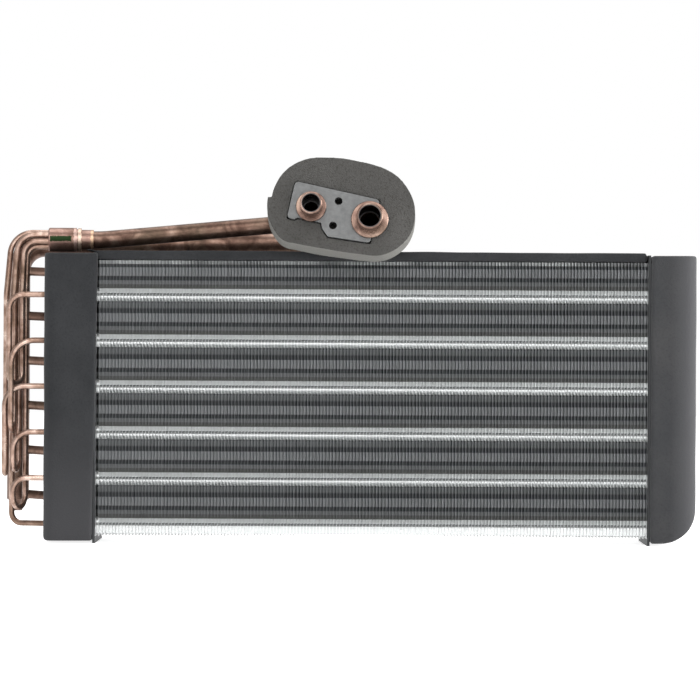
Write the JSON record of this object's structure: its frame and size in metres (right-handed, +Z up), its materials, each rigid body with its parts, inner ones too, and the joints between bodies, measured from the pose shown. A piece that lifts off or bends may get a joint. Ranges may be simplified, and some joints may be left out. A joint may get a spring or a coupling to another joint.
{
  "type": "evaporator core",
  "caption": "Finned evaporator core with copper feeder tubes, distributor, suction header and port fittings in a gasketed block, foam covers over its ends.",
  "frame": {"origin": "middle of the whole footprint, on the plane that both end plates stand on", "axes": "+X along the fins' stacking direction from the header end to the bend end, +Y away from the inlet face that the ports point out of, +Z up"},
  "size_m": [0.3868, 0.1408, 0.2136],
  "materials": {
    "fin_aluminium": "thin rippled plate fins, bright at the tube collars",
    "plate_aluminium": "plain mill-finish sheet",
    "coil_copper": "drawn copper tube",
    "aged_copper": "copper tube, mottled brown and pink from handling and brazing heat",
    "bright_copper": "machined copper fitting, satin",
    "block_grey": "light grey satin plate",
    "charcoal_foam": "closed-cell foam sheet, matte, fine grain",
    "grey_foam": "soft open foam, matte, with a paler cut edge"
  },
  "bodies": {
    "root": {"fin_pack": "fin_aluminium", "left_end_plate": "plate_aluminium", "right_end_plate": "plate_aluminium", "left_foam_cover": "charcoal_foam", "right_foam_cover": "charcoal_foam", "top_foam_strip": "charcoal_foam", "distributor": "aged_copper", "liquid_line": "aged_copper", "suction_header": "aged_copper", "suction_line": "aged_copper", "liquid_port": "bright_copper", "suction_port": "bright_copper", "port_block": "block_grey", "port_gasket": "grey_foam", "front_hairpin_1": "coil_copper", "rear_hairpin_1": "coil_copper", "return_bend_1": "coil_copper", "feeder_1": "aged_copper", "suction_stub_1": "aged_copper", "front_hairpin_2": "coil_copper", "rear_hairpin_2": "coil_copper", "return_bend_2": "coil_copper", "feeder_2": "aged_copper", "suction_stub_2": "aged_copper", "front_hairpin_3": "coil_copper", "rear_hairpin_3": "coil_copper", "return_bend_3": "coil_copper", "feeder_3": "aged_copper", "suction_stub_3": "aged_copper", "front_hairpin_4": "coil_copper", "rear_hairpin_4": "coil_copper", "return_bend_4": "coil_copper", "feeder_4": "aged_copper", "suction_stub_4": "aged_copper", "front_hairpin_5": "coil_copper", "rear_hairpin_5": "coil_copper", "return_bend_5": "coil_copper", "feeder_5": "aged_copper", "suction_stub_5": "aged_copper", "front_hairpin_6": "coil_copper", "rear_hairpin_6": "coil_copper", "return_bend_6": "coil_copper", "feeder_6": "aged_copper", "suction_stub_6": "aged_copper"}
  },
  "joints": []
}
